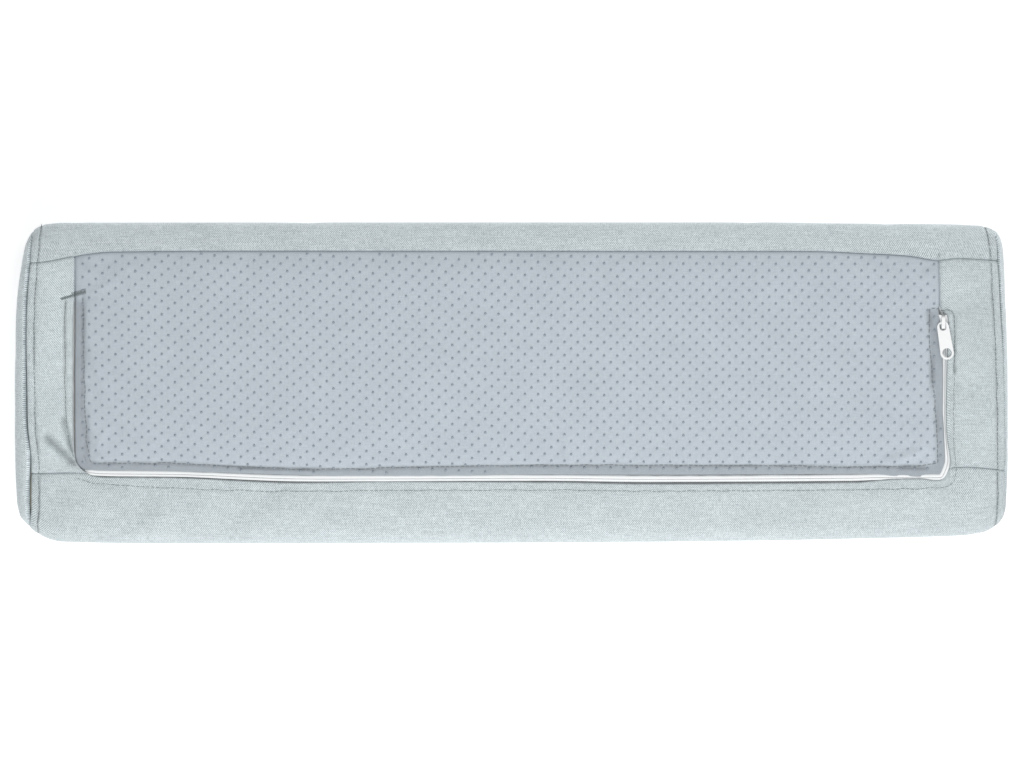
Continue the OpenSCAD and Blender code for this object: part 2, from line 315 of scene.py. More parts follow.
def grid_faces(rows, cols, flip=False):
    faces = [
        (r * cols + c, r * cols + c + 1, (r + 1) * cols + c + 1, (r + 1) * cols + c)
        for r in range(rows - 1) for c in range(cols - 1)
    ]
    return [f[::-1] for f in faces] if flip else faces


def unit(v):
    return v / np.maximum(np.linalg.norm(v, axis=-1, keepdims=True), 1e-9)


CORE_X, CORE_Y, CORE_Z = 285, 82, 25.0   # half the size, and the height, of a flat core in the pad


def outward(points):
    """Roughly the way out of the pad at each point."""
    core = np.stack([np.clip(points[..., 0], -CORE_X, CORE_X), np.clip(points[..., 1], -CORE_Y, CORE_Y),
                     np.full(points.shape[:-1], CORE_Z)], -1)
    return unit(points - core)


def grid_normals(points):
    normal = unit(np.cross(np.gradient(points, axis=1), np.gradient(points, axis=0)))
    turned = np.sum(normal * outward(points), -1).mean() < 0
    return (-normal if turned else normal), turned


def lengths(points, axis):
    """Distance along a grid's lines from its first row (axis 0) or column (axis 1), or along one line."""
    step = np.linalg.norm(np.diff(points, axis=axis), axis=-1)
    start = np.zeros_like(np.take(step, [0], axis))
    return np.concatenate([start, np.cumsum(step, axis)], axis)


# How an edge is turned under: (distance in from the edge, depth) of each hidden row
LIP_TURN = [(0.05, 1.25), (0.7, 1.7), (2.5, 1.8), (6.5, 1.75)]
SEAM_TURN = [(-0.1, 2.2), (-0.3, 3.0), (-0.45, 3.8), (-0.6, 4.8)]


def edge_press(distance, lip):
    """How deep the cloth lies near an edge that is a folded lip (lip 1) or a seam (lip 0)."""
    folded = 0.7 * np.exp(-distance / 0.25)
    sewn = 1.6 * np.exp(-distance / 0.5) + 0.45 * np.exp(-distance / 6)
    return mix(sewn, folded, lip)


def turned_rows(base, normal, axis, end, lip):
    """The hidden rows that carry a panel's edge under, from the outermost to the innermost."""
    first, inner = (0, 3) if end == "low" else (-1, -4)
    edge = np.take(base, first, axis)
    out_of_cloth = np.take(normal, first, axis)
    inward = unit(np.take(base, inner, axis) - edge)
    rows = []
    for (lip_in, lip_deep), (seam_in, seam_deep) in zip(LIP_TURN, SEAM_TURN):
        reach = mix(seam_in, lip_in, lip)[:, None]
        deep = mix(seam_deep, lip_deep, lip)[:, None]
        rows.append(edge + inward * reach - out_of_cloth * deep)
    rows = rows[::-1] if end == "low" else rows
    return np.stack(rows, axis), np.stack([out_of_cloth] * len(rows), axis)


def joined(grid, extra, axis, end):
    return np.concatenate([extra, grid] if end == "low" else [grid, extra], axis)


def sew(points, sides):
    """Presses a panel's grid in along its edges and stitching, and turns its edges under.
    sides has one (axis, end, lip) for each sewn or folded edge, the ones along axis 0 first."""
    normal, flip = grid_normals(points)
    base = points + normal * (relief(points, normal) - stitch_press(points))[..., None]
    pressed = base.copy()
    hold = 0.45 + 0.55 * np.abs(normal[..., 2:])
    for axis, end, lip in sides:
        distance = lengths(points, axis)
        if end == "high":
            distance = np.take(distance, [-1], axis) - distance
        across = np.broadcast_to(np.asarray(lip, float), points.shape[1 - axis])
        pressed -= normal * hold * edge_press(distance, np.expand_dims(across, axis))[..., None]
    added = {"low": 0, "high": 0}
    for axis, end, lip in sides:
        across = np.broadcast_to(np.asarray(lip, float), points.shape[1 - axis])
        if axis == 1:
            across = np.pad(across, (added["low"], added["high"]), mode="edge")
        else:
            added[end] = len(LIP_TURN)
        extra, extra_normal = turned_rows(base, normal, axis, end, across)
        pressed = joined(pressed, extra, axis, end)
        base = joined(base, extra, axis, end)
        normal = joined(normal, extra_normal, axis, end)
    return pressed, flip


def add_object(name, data):
    obj = bpy.data.objects.new(name, data)
    bpy.context.scene.collection.objects.link(obj)
    return obj


def mesh_object(name, points, faces, material, flat=None):
    """A mesh object from points in millimetres. flat gives each point's place on the unrolled cloth."""
    mesh = bpy.data.meshes.new(name)
    mesh.from_pydata((np.asarray(points, float) * M).tolist(), [], faces)
    if flat is not None:
        layer = mesh.uv_layers.new(name="cloth")
        index = np.empty(len(mesh.loops), np.int32)
        mesh.loops.foreach_get("vertex_index", index)
        layer.data.foreach_set("uv", (np.asarray(flat, float)[index] * M).astype(np.float32).ravel())
    mesh.polygons.foreach_set("use_smooth", [True] * len(mesh.polygons))
    mesh.materials.append(material)
    return add_object(name, mesh)


def unrolled(grid):
    """Each point's place on the flat cloth, for a panel that bends one way."""
    rows, cols = grid.shape[:2]
    u = lengths(grid, 1)[rows // 2]
    v = lengths(grid, 0)[:, cols // 2]
    return np.stack(np.meshgrid(u + grid[rows // 2, 0, 0], v), -1)


def unrolled_end(grid):
    """Each point's place on the flat cloth of an end panel, which bends over at its upper and lower edge."""
    middle = grid[-1].mean(0)
    up = grid[..., 2] - middle[2]
    return np.stack([grid[..., 1], up + np.clip(up / 10, -1, 1) * np.abs(grid[..., 0] - middle[0])], -1)


def panel(name, points, sides, material, flatten=unrolled):
    """A sewn panel of cloth, from its grid of points on the pad's form."""
    grid, flip = sew(points, sides)
    rows, cols = grid.shape[:2]
    flat = flatten(grid)
    faces = grid_faces(rows, cols, flip)
    obj = mesh_object(name, grid.reshape(-1, 3), faces, material, flat.reshape(-1, 2))
    solid = obj.modifiers.new("thickness", "SOLIDIFY")
    solid.thickness = CLOTH_T * M
    solid.offset = -1
    surfaces.append((grid.reshape(-1, 3), faces))
    return obj


surfaces = []            # every panel's points and faces, to lay stitches and dots on


# ---- the pad's form: rings round it, and its ends ----

ARC = np.linspace(0, math.pi / 2, 10)
SIDE_STEPS = np.linspace(0, 1, 10)[1:]


def wrap_rows(x, front_from, back_from, front_steps, back_steps, inset=0.0):
    """Rows of points along the pad, from the front part of the upper face round to the back part."""
    front = front_y(placed(x, -88)) + inset
    back = back_y(placed(x, 92)) - inset
    r = EDGE_R - inset

    def top(y):
        return upper_face(placed(x, y), y) - inset

    def bottom(y):
        return end_drop(placed(x, y), y) * 0.9 + inset

    rows = [(y, top(y)) for y in (mix(front_from, front + r, f) for f in front_steps)]
    for edge, sign in ((front, 1), (back, -1)):
        high, low = top(edge + sign * r), bottom(edge)
        over = [(edge + sign * (r - r * math.sin(a)), high - r + r * math.cos(a)) for a in ARC[1:]]
        side = [(edge - sign * 0.4 * math.sin(math.pi * f), mix(high - r, low + r, f)) for f in SIDE_STEPS]
        under = [(edge + sign * (r - r * math.cos(a)), low + r - r * math.sin(a)) for a in ARC[1:]]
        if sign == 1:
            rows += over + side + under
            under_steps = np.linspace(0, 1, 60)[1:-1]
            rows += [(y, bottom(y)) for y in (mix(front + r, back - r, f) for f in under_steps)]
        else:
            rows += under[::-1] + side[::-1] + over[::-1]
            rows.append((edge + sign * r, high))
    rows += [(y, top(y)) for y in (mix(back - r, back_from, f) for f in back_steps[1:])]
    return np.array([np.stack([placed(x, y), y + 0 * x, z], -1) for y, z in rows])


MIDDLE_STEP = 4.0        # between the points on an end panel's middle line


def ring_at(x, inset=0.0):
    """The whole outline of the pad across X at one place, as a closed loop of points."""
    steps = np.linspace(0, 1, 16)
    loop = wrap_rows(np.array([x]), -20.0, 20.0, steps, steps, inset)[:, 0]
    y = np.arange(16.0, -17.0, -MIDDLE_STEP)
    gap = np.column_stack([placed(x, y), y, upper_face(placed(x, y), y) - inset])
    loop = np.concatenate([loop, gap])
    return np.concatenate([loop, loop[:1]])


def rim_height(y, ring):
    """Half the height of an end's outline at y."""
    low, high = ring.min(0), ring.max(0)
    past = np.clip(np.maximum(y - high[1], low[1] - y) + EDGE_R, 0, EDGE_R)
    return (high[2] - low[2]) / 2 - EDGE_R + np.sqrt(EDGE_R ** 2 - past ** 2)


def end_grid(end, depths, inset=0.0):
    """The end of the pad: rows run round it, and step in from the seam to the end's middle line."""
    sign = -1 if end == "left" else 1
    ring = ring_at(SEAM_LEFT if end == "left" else SEAM_RIGHT, inset)
    middle_z = (ring[:, 2].min() + ring[:, 2].max()) / 2
    middle = ring.copy()
    middle[:, 1] = np.clip(np.round(ring[:, 1] / MIDDLE_STEP), -15, 15) * MIDDLE_STEP
    middle[:, 2] = middle_z
    rows = []
    for k in depths:
        row = mix(ring, middle, k)
        y, z = row[:, 1], row[:, 2]
        reach = np.maximum(sign * (end_x(y, end) - seam_x(y, end)) - inset, 0.1)
        over = np.clip((rim_height(y, ring) - np.abs(z - middle_z)) / 9.5, 0, 1)
        row[:, 0] = seam_x(y, end) + sign * reach * np.sqrt(1 - (1 - over) ** 2)
        rows.append(row)
    return np.array(rows)


# ---- lines of stitching ----

def along(points, step):
    """Points every step or so along a smooth line through the given ones."""
    points = np.array(points, float)
    at = lengths(points, 0)
    places = np.linspace(0, at[-1], max(int(at[-1] / step), 1) + 1)
    return np.stack([through(np.stack([at, c], 1), places) for c in points.T], 1)


def read_along(at, points, places):
    """Points at some places along a line, from the line's own points and the place (at) of each."""
    return np.stack([np.interp(places, at, c) for c in points.T], 1)


def end_line(end):
    """The topstitching that runs all round the pad beside an end seam."""
    return along(ring_at(SEAM_LEFT + STITCH_GAP if end == "left" else SEAM_RIGHT - STITCH_GAP), 1.0)


def upper_line(points):
    flat = along(points, 1.0)
    return np.column_stack([flat, upper_face(flat[:, 0], flat[:, 1])])


lines = {body: [upper_line(p) for p in group] for body, group in STITCH_LINES.items()}
lines["left_end"] = [end_line("left")]
lines["right_end"] = [end_line("right")]


def tree_of(points):
    tree = KDTree(len(points))
    for i, point in enumerate(points):
        tree.insert(point, i)
    tree.balance()
    return tree


def lines_tree(*groups):
    return tree_of(np.concatenate([line for group in groups for line in lines[group]]))


firm_lines = lines_tree("flap", "cover", "back_left", "left_end", "right_end")   # pulled tight
loose_lines = lines_tree("cover_front")


def distances(points, tree):
    return np.array([tree.find(p)[2] for p in points.reshape(-1, 3)]).reshape(points.shape[:-1])


def on_grip_lip(x, y):
    """1 on the folded edge of the grip panel beside the zip, and 0 elsewhere."""
    leg_end = np.where(x < 0, ZIP_END_LEFT, ZIP_END_RIGHT + 1.5)
    from_legs = np.minimum(x - flap_edge_left(y), flap_edge_right(y) - x)
    inside = np.minimum(from_legs, y - flap_edge_front(x))
    return smooth((inside + 0.6) / 0.4) * smooth((leg_end - y) / 4) * (beside_grip_stitch(x, y) < 0.6)


def distance_to_segment(x, y, a, b):
    ax, ay = a
    dx, dy = b[0] - ax, b[1] - ay
    t = np.clip(((x - ax) * dx + (y - ay) * dy) / (dx * dx + dy * dy), 0, 1)
    return np.hypot(x - ax - t * dx, y - ay - t * dy)


def stitch_press(points):
    """How deep the cloth is pulled in by the topstitching near each point, and by its creases."""
    x, y, z = points[..., 0], points[..., 1], points[..., 2]
    firm, loose = distances(points, firm_lines), distances(points, loose_lines)
    press = 0.6 * bell(firm, 0.75) + 0.25 * np.exp(-firm / 3)
    press = press + 0.22 * bell(loose, 0.75) + 0.08 * np.exp(-loose / 3)
    press = press + 0.16 * crumple(x, y + z) * np.exp(-np.minimum(firm, loose) / 5)
    on_top = z > TOP_ONLY
    past_stitch = smooth((0.6 - beside_grip_stitch(x, y)) / 1.2) * on_grip_lip(x, y) * on_top
    press = press + past_stitch * (0.7 + 0.25 * np.clip(crumple(x, y), -1, 1))
    for start, stop, depth, width, _ in CREASES:
        press = press + on_top * depth * bell(distance_to_segment(x, y, start, stop), width)
    return press


# ---- the cloth simulation that the panels take their unevenness from ----

CAP_MM = 1.3             # no point of the cover moves further than this
SWELLING_FRAMES = 20


def closed_form(inset, step):
    """The whole pad as one closed grid form: rings along it, and rings that close each end."""
    depths = np.array([0, 0.03, 0.08, 0.16, 0.28, 0.45, 0.7, 1.0])
    left, right = end_grid("left", depths, inset), end_grid("right", depths, inset)
    rings = [ring_at(x, inset) for x in stations(SEAM_LEFT, SEAM_RIGHT, step)[1:-1]]
    grid = np.concatenate([left[::-1], np.array(rings), right])
    return grid, grid_normals(grid)[1]


def join_doubles(mesh, distance=0.02, row=None):
    """Joins points that lie closer than a distance: all of them, or those on one row of points."""
    bm = bmesh.new()
    bm.from_mesh(mesh)
    verts = list(bm.verts)
    if row is not None:
        row_tree = tree_of(row)
        verts = [vert for vert in verts if row_tree.find(vert.co / M)[2] < 0.05]
    bmesh.ops.remove_doubles(bm, verts=verts, dist=distance * M)
    bmesh.ops.dissolve_degenerate(bm, edges=bm.edges, dist=0.001 * M)
    bm.to_mesh(mesh)
    bm.free()


def evaluated_points(obj):
    """An object's points after its modifiers, in millimetres."""
    shown = obj.evaluated_get(bpy.context.evaluated_depsgraph_get())
    mesh = shown.to_mesh()
    points = np.empty(len(mesh.vertices) * 3)
    mesh.vertices.foreach_get("co", points)
    shown.to_mesh_clear()
    return points.reshape(-1, 3) / M


def add_cloth(form):
    """Makes an object a cloth that grows a little and is blown up gently, held by its vertex group."""
    settings = form.modifiers.new("cloth", "CLOTH").settings
    settings.quality = 5
    settings.mass = 0.25
    settings.tension_stiffness = settings.compression_stiffness = 12
    settings.bending_stiffness = 0.6
    settings.vertex_group_mass = "held"
    settings.pin_stiffness = 1.0
    settings.use_pressure = True
    settings.uniform_pressure_force = 4
    settings.shrink_min = -0.012
    settings.effector_weights.gravity = 0


def simulated_shift():
    """Swells the closed form as cloth held along its seams. Returns its points and how each one moved."""
    grid, flip = closed_form(0.5, 4.0)
    form = mesh_object("swelling_form", grid.reshape(-1, 3), grid_faces(*grid.shape[:2], flip), linen)
    join_doubles(form.data)
    remesh = form.modifiers.new("voxels", "REMESH")
    remesh.mode = "VOXEL"
    remesh.voxel_size = 5 * M
    start = evaluated_points(form)
    with bpy.context.temp_override(object=form, active_object=form, selected_objects=[form]):
        bpy.ops.object.modifier_apply(modifier="voxels")
    held = form.vertex_groups.new(name="held")
    for i, point in enumerate(start):
        by_seam = math.exp(-(seam_tree.find(point)[2] / 4.0) ** 2)
        on_floor = 1.0 if point[2] < 2.5 else 0.0
        held.add([i], max(by_seam, on_floor, 0.02), "REPLACE")
    add_cloth(form)
    for number in range(1, SWELLING_FRAMES + 1):
        bpy.context.scene.frame_set(number)
    moved = evaluated_points(form) - start
    bpy.context.scene.frame_set(1)
    bpy.data.objects.remove(form)
    size = np.linalg.norm(moved, axis=1, keepdims=True)
    moved *= np.minimum(1, CAP_MM / np.maximum(size, 1e-9))
    return tree_of(start), moved


def relief(points, normal):
    """How far the simulated cover stands out from the plain form at each point."""
    if swelling is None:
        return np.zeros(points.shape[:-1])
    tree, moved = swelling
    out = np.empty(len(points.reshape(-1, 3)))
    for i, (point, n) in enumerate(zip(points.reshape(-1, 3), normal.reshape(-1, 3))):
        found = tree.find_n(point, 7)
        weight = np.array([math.exp(-(d / 5.0) ** 2) for _, _, d in found]) + 1e-6
        shift = weight @ moved[[index for _, index, _ in found]] / weight.sum()
        out[i] = shift @ n * (0.25 + 0.55 * abs(n[2]))
    return out.reshape(points.shape[:-1])


# ---- materials ----

def paint(red, green, blue):
    """A colour given the way a picture shows it, 0 to 255, as the shader's linear value."""
    parts = [c / 255 for c in (red, green, blue)]
    return (*[p / 12.92 if p <= 0.04045 else ((p + 0.055) / 1.055) ** 2.4 for p in parts], 1)


def add(tree, kind, inputs=None, **settings):
    """Adds a node, with its settings, and with values or links for its inputs."""
    node = tree.nodes.new(kind)
    for key, value in settings.items():
        setattr(node, key, value)
    for key, value in (inputs or {}).items():
        if isinstance(value, bpy.types.NodeSocket):
            tree.links.new(value, node.inputs[key])
        else:
            node.inputs[key].default_value = value
    return node


def new_material(name, roughness, **extra):
    material = bpy.data.materials.new(name)
    material.use_nodes = True
    shader = material.node_tree.nodes["Principled BSDF"]
    shader.inputs["Roughness"].default_value = roughness
    for key, value in extra.items():
        shader.inputs[key.replace("_", " ")].default_value = value
    return material, material.node_tree, shader


def scaled(tree, source, across, up):
    """Texture coordinates in units of across and up, both in millimetres."""
    scale = (1 / (across * M), 1 / (up * M), 1)
    return add(tree, "ShaderNodeMapping", {"Vector": source, "Scale": scale}).outputs["Vector"]


def noise(tree, vector, scale=1.0, detail=2.0, roughness=0.5):
    inputs = {"Vector": vector, "Scale": scale, "Detail": detail, "Roughness": roughness}
    return add(tree, "ShaderNodeTexNoise", inputs).outputs["Fac"]


def weighted(tree, parts):
    """0.5 plus each source's distance from 0.5 times its weight."""
    total = None
    for source, weight in parts:
        bias = 0.5 * (1 - weight) if total is None else -0.5 * weight
        node = add(tree, "ShaderNodeMath", {0: source, 1: weight, 2: bias}, operation="MULTIPLY_ADD")
        if total is None:
            total = node.outputs[0]
        else:
            total = add(tree, "ShaderNodeMath", {0: total, 1: node.outputs[0]}).outputs[0]
    return total


def between(tree, shade, dark, light):
    """A colour from dark to light, by a shade from 0 to 1."""
    return add(tree, "ShaderNodeMixRGB", {"Fac": shade, "Color1": dark, "Color2": light}).outputs["Color"]


def paint_and_bump(tree, shader, colour, height, strength, deep_mm):
    """Gives a shader its colour, and a bump from a height texture."""
    tree.links.new(colour, shader.inputs["Base Color"])
    bump = add(tree, "ShaderNodeBump", {"Height": height, "Strength": strength, "Distance": deep_mm * M})
    tree.links.new(bump.outputs["Normal"], shader.inputs["Normal"])


TWILL_PITCH = 0.95        # from one diagonal line of the weave to the next


def woven(name, dark, light, thread, contrast, roughness, sheen, slubs=0.0, twill=0.0):
    """Cloth with threads along and across, a twill line, slubs and a faint mottle."""
    material, tree, shader = new_material(name, roughness, Sheen_Weight=sheen, Sheen_Roughness=0.5)
    cloth = add(tree, "ShaderNodeUVMap", uv_map="cloth").outputs["UV"]
    warp = noise(tree, scaled(tree, cloth, thread, thread * 7))
    weft = noise(tree, scaled(tree, cloth, thread * 7, thread))
    fine = noise(tree, scaled(tree, cloth, thread * 0.8, thread * 0.8), detail=3, roughness=0.7)
    slub = noise(tree, scaled(tree, cloth, thread * 40, thread * 1.6), detail=1)
    mottle = noise(tree, scaled(tree, cloth, 24, 18), detail=3)
    turned = add(tree, "ShaderNodeMapping", {"Vector": cloth, "Rotation": (0, 0, math.radians(52))})
    diagonal = scaled(tree, turned.outputs["Vector"], TWILL_PITCH, TWILL_PITCH)
    twill_inputs = {"Vector": diagonal, "Scale": math.pi / 10, "Distortion": 1.6, "Detail": 2.0,
                    "Detail Scale": 0.5}
    line = add(tree, "ShaderNodeTexWave", twill_inputs, bands_direction="Y").outputs["Fac"]
    shade = weighted(tree, [(warp, contrast * 0.7), (weft, contrast * 0.7), (fine, contrast * 1.9),
                            (slub, slubs), (line, twill), (mottle, 0.25)])
    # the painted shade and painted light kept on each point darken or lighten the cloth's colour
    painted_shading = add(tree, "ShaderNodeAttribute", attribute_name="painted_shading").outputs["Fac"]
    colour = between(tree, shade, dark, light)
    toned = add(tree, "ShaderNodeHueSaturation", {"Value": painted_shading, "Color": colour}).outputs["Color"]
    height = weighted(tree, [(warp, 0.8), (weft, 0.8), (line, twill * 2), (slub, slubs)])
    paint_and_bump(tree, shader, toned, height, 0.55, 0.25)
    return material


def speckled(name, dark, light, grain, roughness, bump_mm, **extra):
    """A plain surface with fine colour variation and a fine bump of one grain size."""
    material, tree, shader = new_material(name, roughness, **extra)
    place = add(tree, "ShaderNodeTexCoord").outputs["Object"]
    fleck = noise(tree, scaled(tree, place, grain, grain), detail=3)
    broad = noise(tree, scaled(tree, place, grain * 12, grain * 12), detail=2)
    shade = weighted(tree, [(fleck, 1.0), (broad, 0.6)])
    paint_and_bump(tree, shader, between(tree, shade, dark, light), fleck, 0.6, bump_mm)
    return material


linen = woven("linen_weave", paint(144, 156, 160), paint(234, 243, 246), 0.7, 1.0, 0.9, 0.15,
              slubs=0.25, twill=0.75)
grip_cloth = woven("grip_cloth", paint(162, 171, 179), paint(203, 212, 220), 0.6, 0.7, 0.85, 0.1,
                   slubs=0.1, twill=0.15)
tape_cloth = woven("zip_tape_weave", paint(226, 229, 231), paint(250, 252, 252), 0.4, 0.5, 0.7, 0.05)
thread_grey = speckled("sewing_thread", paint(98, 107, 109), paint(132, 142, 144), 0.25, 0.6, 0.05,
                       Sheen_Weight=0.2)
dot_rubber = speckled("grip_dots", paint(136, 146, 156), paint(156, 166, 176), 0.6, 0.3, 0.02)
coil_nylon = speckled("coil_nylon", paint(214, 217, 218), paint(230, 233, 233), 0.8, 0.35, 0.01)
enamel = speckled("white_enamel", paint(238, 240, 241), paint(246, 247, 247), 3.0, 0.25, 0.004,
                  Coat_Weight=0.5, Coat_Roughness=0.15)


def foam_material():
    """Open-cell foam: small dark cells with pale walls."""
    material, tree, shader = new_material("cream_foam", 0.95, Subsurface_Weight=0.08)
    place = add(tree, "ShaderNodeTexCoord").outputs["Object"]
    cells = add(tree, "ShaderNodeTexVoronoi", {"Vector": scaled(tree, place, 0.9, 0.9), "Scale": 1.0})
    walls = noise(tree, scaled(tree, place, 0.35, 0.35), detail=3)
    broad = noise(tree, scaled(tree, place, 30, 30), detail=2)
    shade = weighted(tree, [(cells.outputs["Distance"], 1.1), (walls, 0.6), (broad, 0.4)])
    colour = between(tree, shade, paint(206, 198, 172), paint(244, 238, 218))
    paint_and_bump(tree, shader, colour, shade, 0.8, 0.4)
    return material


foam_cream = foam_material()


# ---- run the simulation, which the panels then follow ----

def seam_points():
    x_front = np.linspace(SEAM_LEFT, SEAM_RIGHT, 1200)
    y_side = np.linspace(-50, 78, 256)
    upper = [(x_front, back_seam(x_front)), (x_front, cover_edge_front(x_front)),
             (cover_edge_left(y_side), y_side), (cover_edge_right(y_side), y_side)]
    points = [np.column_stack([x, y, upper_face(x, y)]) for x, y in upper]
    return np.concatenate(points + [along(ring_at(SEAM_LEFT), 0.5), along(ring_at(SEAM_RIGHT), 0.5)])


seam_tree = tree_of(seam_points())
swelling = simulated_shift()


# ---- the cover's panels ----


def as_sheet(obj, body, slot, *nodes):
    """Hides the CAD parts that a piece of cloth stretched over the foam stands for, and attaches it to a body if
    one is given.
    """
    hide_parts(*nodes)
    if body:
        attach(obj, body)


def store_tone(obj, painted_shading):
    """Keeps a painted brightness for each point, with its painted shade and painted light, which the woven
    materials read.
    """
    layer = obj.data.attributes.new("painted_shading", "FLOAT", "POINT")
    layer.data.foreach_set("value", painted_shading.astype(np.float32))


# Painted light: the cloth of these panels is painted a little paler than the rest, by this factor, to stand in for
# more light falling on them
PAINTED_LIGHT_GAIN = {"left_underside_cloth": 1.1, "left_end_cloth": 1.12, "right_end_cloth": 1.15}


def set_tone(obj):
    """Paints shade into the cloth where shade falls: a little darker along its seams and under its rows of
    stitching, on the grip panel's lip and in its creases; and paints light on a few panels, on the back edge and
    on some ridges.
    """
    points = np.empty(len(obj.data.vertices) * 3)
    obj.data.vertices.foreach_get("co", points)
    points = points.reshape(-1, 3) / M
    seam, firm, loose = (distances(points, tree) for tree in (seam_tree, firm_lines, loose_lines))
    x, y = points[:, 0], points[:, 1]
    seam_shade_strength = 0.6 - 0.35 * smooth((x - 286) / 6)           # painted seam shade, weaker at the right end, where that seam hardly shows
    # painted shade in the groove along each seam, and a faint wider band beside it
    painted_shading = 1 - seam_shade_strength * bell(seam, 0.6) - 0.05 * np.exp(-seam / 4)
    # painted shade in the grooves pulled into the cloth by the rows of stitching
    painted_shading = painted_shading - 0.5 * bell(firm, 0.8) - 0.10 * bell(loose, 0.7)
    on_top = points[:, 2] > TOP_ONLY
    # painted shade on the grip panel's lip, which drops below its stitching towards the zip
    lip = on_grip_lip(x, y) * smooth((0.4 - beside_grip_stitch(x, y)) / 0.8) * on_top
    painted_shading = painted_shading * (1 - 0.25 * lip) if obj.name == "grip_cloth" else painted_shading
    # painted shade in each crease, and a painted highlight along each ridge
    for start, stop, _, width, shade in CREASES:
        painted_shading = painted_shading - on_top * shade * bell(distance_to_segment(x, y, start, stop), width)
    # painted light: some panels a little paler, by the factor above, and the back edge past y 86 up to 13% paler
    # where it rolls over
    store_tone(obj, painted_shading * PAINTED_LIGHT_GAIN.get(obj.name, 1) * (1 + 0.13 * smooth((y - 86) / 6)))


def lip_between(places, low, high):
    """1 for a folded lip between low and high, and 0 for a seam outside them."""
    return smooth((places - low) / 3) * smooth((high - places) / 3)


def rectangle_panel(name, x_edges, y_edges, x_steps, y_steps, sides, material):
    """A panel between two edges x(y) and two edges y(x). The steps are fractions from edge to edge."""
    (x_low, x_high), (y_low, y_high) = x_edges, y_edges
    fx, fy = np.meshgrid(x_steps, y_steps)
    x = mix(x_low(0 * fx), x_high(0 * fx), fx)
    y = mix(y_low(x), y_high(x), fy)
    for _ in range(6):
        x = mix(x_low(y), x_high(y), fx)
        y = mix(y_low(x), y_high(x), fy)
    points = np.stack([x, y, upper_face(x, y)], -1)
    obj = panel(name, points, sides(x, y), material)
    set_tone(obj)
    return obj


def fractions(length, step):
    """Fractions from 0 to 1, about step apart over a length, and finer towards the ends."""
    return stations(0, length, step, (0, length)) / length


def build_wrap():
    x = stations(SEAM_LEFT, SEAM_RIGHT, 2.4, (SEAM_LEFT, SEAM_LEFT + STITCH_GAP, -257, 259,
                                             SEAM_RIGHT - STITCH_GAP, SEAM_RIGHT))
    front_steps, back_steps = fractions(28, 1.3), 1 - fractions(9, 1.0)[::-1]
    edges = cover_edge_front(placed(x, -54)), back_seam(placed(x, 74))
    points = wrap_rows(x, *edges, front_steps, back_steps)
    lip = lip_between(x, -258.5, 261.5)
    sides = [(0, "low", lip), (0, "high", 0), (1, "low", 0), (1, "high", 0)]
    obj = panel("wrap_cloth", points, sides, linen)
    set_tone(obj)
    return obj


def build_end(end):
    """An end panel. The points of its last row meet in pairs along its middle line, and are joined."""
    depths = np.array([0, 0.008, 0.018, 0.032, 0.05, 0.075, 0.105, 0.14, 0.18, 0.23, 0.29, 0.36, 0.44,
                       0.53, 0.63, 0.74, 0.87, 1])
    points = end_grid(end, depths)
    obj = panel(f"{end}_end_cloth", points, [(0, "low", 0)], linen, unrolled_end)
    last_row = surfaces[-1][0][-points.shape[1]:]
    join_doubles(obj.data)
    join_doubles(obj.data, 0.3 * MIDDLE_STEP, last_row)
    set_tone(obj)
    return obj


def left_sides(x, y):
    return [(0, "low", 0), (0, "high", 0), (1, "low", 0),
            (1, "high", smooth((ZIP_END_LEFT - y[:, -1]) / 4))]


def right_sides(x, y):
    return [(0, "low", 0), (0, "high", 0), (1, "low", smooth((ZIP_END_RIGHT - y[:, 0]) / 4)), (1, "high", 0)]


def grip_sides(x, y):
    return [(0, "low", 1), (0, "high", 0), (1, "low", smooth((ZIP_END_LEFT - y[:, 0]) / 4)),
            (1, "high", smooth((ZIP_END_RIGHT - y[:, -1]) / 4))]


wrap = build_wrap()
left_end, right_end = build_end("left"), build_end("right")
side_steps = fractions(130, 1.9)
left_panel = rectangle_panel("left_underside_cloth", (lambda y: seam_x(y, "left"), cover_edge_left),
                             (cover_edge_front, back_seam), fractions(29, 1.2), side_steps,
                             left_sides, linen)
right_panel = rectangle_panel("right_underside_cloth", (cover_edge_right, lambda y: seam_x(y, "right")),
                              (cover_edge_front, back_seam), fractions(36, 1.2), side_steps,
                              right_sides, linen)
grip = rectangle_panel("grip_cloth", (flap_edge_left, flap_edge_right), (flap_edge_front, back_seam),
                       fractions(523, 2.6), fractions(134, 1.5), grip_sides, grip_cloth)

as_sheet(wrap, "cover", "linen", "wrap_panel")
as_sheet(left_end, "cover", "linen", "left_end_panel")
as_sheet(right_end, "cover", "linen", "right_end_panel")
as_sheet(left_panel, "cover", "linen", "left_underside_panel")
as_sheet(right_panel, "cover", "linen", "right_underside_panel")
as_sheet(grip, None, "grip_fabric", "grip_panel_back", "grip_panel_flap", "grip_flap_lip")
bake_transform(grip)


# ---- foam core ----

def zip_middle():
    """Points along the middle of the zip: down the left leg, along the front and up the right leg."""
    left = [(float(flap_edge_left(y) + cover_edge_left(y)) / 2, y) for y in (59, 40, 20, 0, -20, -38, -46)]
    run = [(x, float(flap_edge_front(x) + cover_edge_front(x)) / 2) for x in range(-248, 256, 12)]
    right = [(float(mix(flap_edge_right(y), cover_edge_right(y), 0.66)), y)
             for y in (-46, -38, -20, 0, 20, 38, 50)]
    left_corner = [(-262.2, -50.2), (-259.0, -52.6), (-254.5, -53.9)]
    right_corner = [(258.5, -57), (261.6, -52.5)]
    return along(left + left_corner + run + right_corner + right, 1.2)


zip_line = zip_middle()
GROOVE_HALF = 11.5       # half the width of the dip's floor


